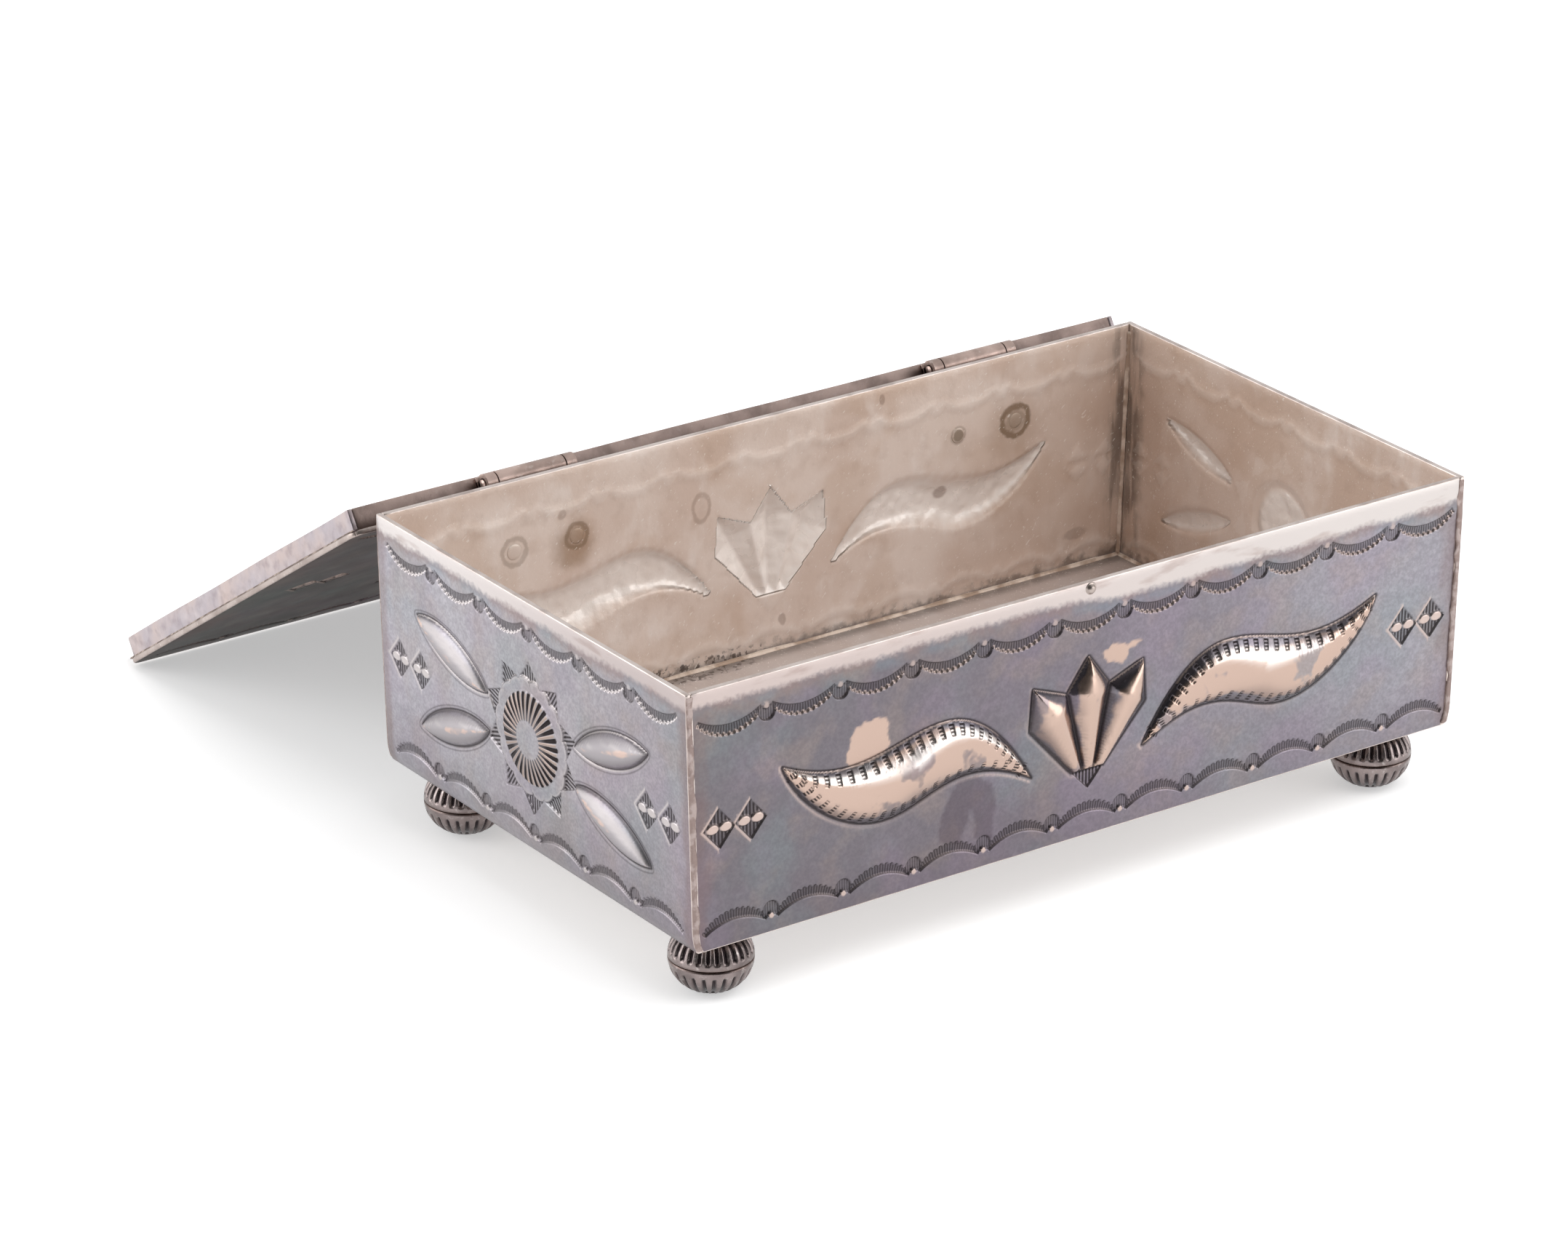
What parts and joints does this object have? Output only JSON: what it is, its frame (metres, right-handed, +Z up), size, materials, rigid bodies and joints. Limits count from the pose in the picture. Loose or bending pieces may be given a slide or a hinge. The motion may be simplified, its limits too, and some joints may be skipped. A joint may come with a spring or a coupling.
{
  "type": "stamped silver keepsake box",
  "caption": "Rectangular sheet-silver keepsake box with stamped and raised ornament, fluted bead feet and a skirted lid hinged at the back, shown thrown open.",
  "frame": {"origin": "on the table, at the middle of the space that the open box and its thrown-back lid take up", "axes": "+X along the box's length to the right, +Y from the front wall to the back, where the lid lies, +Z up"},
  "size_m": [0.1632, 0.1808, 0.0578],
  "materials": {
    "wall_silver": "tarnished silver, satin, lavender grey outside with bright worn high spots and a bright rim band, champagne inside",
    "base_silver": "champagne silver, satin, dirt in the corners",
    "bead_silver": "tarnished silver with dark flutes and a brown seam",
    "hinge_silver": "worn silver, rough, brown in the joints",
    "lid_silver": "tarnished silver, satin, lavender grey"
  },
  "bodies": {
    "case": {"front_wall": "wall_silver", "back_wall": "wall_silver", "left_end_wall": "wall_silver", "right_end_wall": "wall_silver", "base_plate": "base_silver", "front_left_foot_upper_dome": "bead_silver", "front_left_foot_lower_dome": "bead_silver", "front_right_foot_upper_dome": "bead_silver", "front_right_foot_lower_dome": "bead_silver", "back_left_foot_upper_dome": "bead_silver", "back_left_foot_lower_dome": "bead_silver", "back_right_foot_upper_dome": "bead_silver", "back_right_foot_lower_dome": "bead_silver", "catch_pip": "hinge_silver", "left_hinge_body_leaf": "hinge_silver", "left_hinge_pin": "hinge_silver", "left_hinge_outer_rivet": "hinge_silver", "left_hinge_inner_rivet": "hinge_silver", "right_hinge_body_leaf": "hinge_silver", "right_hinge_pin": "hinge_silver", "right_hinge_outer_rivet": "hinge_silver", "right_hinge_inner_rivet": "hinge_silver"},
    "lid": {"lid_plate": "lid_silver", "lid_front_skirt": "lid_silver", "lid_back_skirt": "lid_silver", "lid_left_skirt": "lid_silver", "lid_right_skirt": "lid_silver", "left_hinge_lid_leaf": "hinge_silver", "right_hinge_lid_leaf": "hinge_silver"}
  },
  "joints": [
    {"name": "lid_hinge", "type": "hinge", "parent": "case", "child": "lid", "pos_m": [0, 0.00785, 0.056], "axis": [1, 0, 0], "range_deg": [0, 213.09]}
  ]
}
